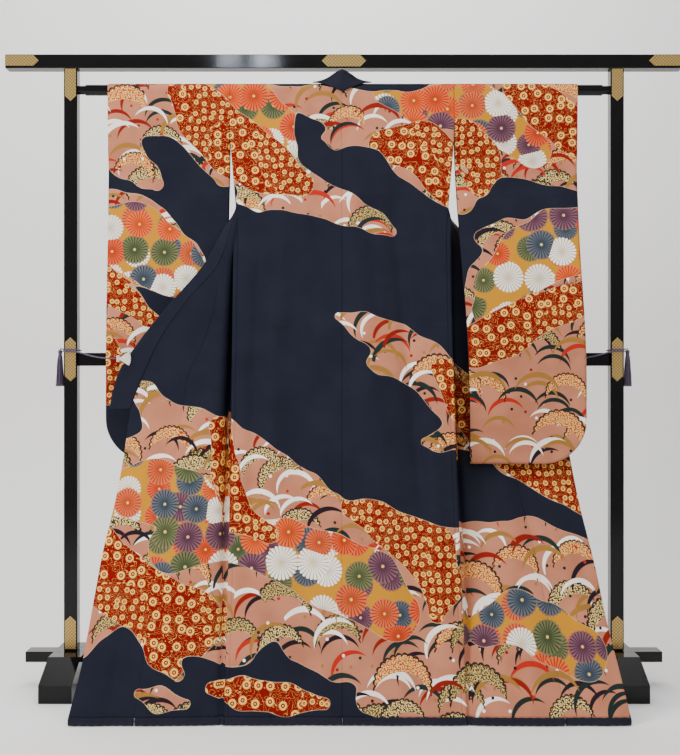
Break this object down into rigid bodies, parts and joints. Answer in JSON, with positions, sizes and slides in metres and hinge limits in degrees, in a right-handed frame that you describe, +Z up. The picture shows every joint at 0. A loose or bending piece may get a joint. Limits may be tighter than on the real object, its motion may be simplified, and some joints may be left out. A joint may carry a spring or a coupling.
{
  "type": "uchikake wedding kimono on a kimono stand",
  "caption": "Long-sleeved wedding kimono hung from behind on a black lacquered stand, fronts spread wide, hem padded.",
  "frame": {"origin": "on the floor under the middle of the whole object", "axes": "+X to the viewer's right along the beam, +Y away from the side the garment's back faces, +Z up"},
  "size_m": [1.92, 0.6386, 1.7904],
  "materials": {
    "printed_silk": "matt crepe silk, navy ground with dyed clouds, gold outlines and flowers",
    "navy_silk": "matt navy crepe silk",
    "navy_lining": "navy silk lining, padded at the hem",
    "black_lacquer": "black lacquer with a soft gloss",
    "brass_fitting": "gilt brass plate with fine cross-hatched engraving",
    "purple_cord": "twisted dull purple silk cord",
    "white_clip": "smooth off-white"
  },
  "bodies": {
    "root": {"back_left": "printed_silk", "back_right": "printed_silk", "beam_plate_centre_front": "brass_fitting", "beam_plate_centre_rear": "brass_fitting", "beam_plate_left_front": "brass_fitting", "beam_plate_left_rear": "brass_fitting", "beam_plate_right_front": "brass_fitting", "beam_plate_right_rear": "brass_fitting", "clip_left": "white_clip", "clip_right": "white_clip", "collar_left": "navy_silk", "collar_neck": "navy_silk", "collar_right": "navy_silk", "cord_left": "purple_cord", "cord_right": "purple_cord", "foot_left": "black_lacquer", "foot_right": "black_lacquer", "front_left": "printed_silk", "front_right": "printed_silk", "hanging_pole": "black_lacquer", "hem_roll_back_left": "navy_lining", "hem_roll_back_right": "navy_lining", "hem_roll_front_left": "navy_lining", "hem_roll_front_right": "navy_lining", "hem_roll_okumi_left": "navy_lining", "hem_roll_okumi_right": "navy_lining", "middle_rail": "black_lacquer", "okumi_left": "printed_silk", "okumi_right": "printed_silk", "post_left": "black_lacquer", "post_plate_left_bottom_front": "brass_fitting", "post_plate_left_bottom_rear": "brass_fitting", "post_plate_left_middle_front": "brass_fitting", "post_plate_left_middle_rear": "brass_fitting", "post_plate_left_top_front": "brass_fitting", "post_plate_left_top_rear": "brass_fitting", "post_plate_right_bottom_front": "brass_fitting", "post_plate_right_bottom_rear": "brass_fitting", "post_plate_right_middle_front": "brass_fitting", "post_plate_right_middle_rear": "brass_fitting", "post_plate_right_top_front": "brass_fitting", "post_plate_right_top_rear": "brass_fitting", "post_right": "black_lacquer", "sill_rail": "black_lacquer", "sleeve_left": "printed_silk", "sleeve_right": "printed_silk", "tassel_left": "purple_cord", "tassel_right": "purple_cord", "top_beam": "black_lacquer"}
  },
  "joints": []
}
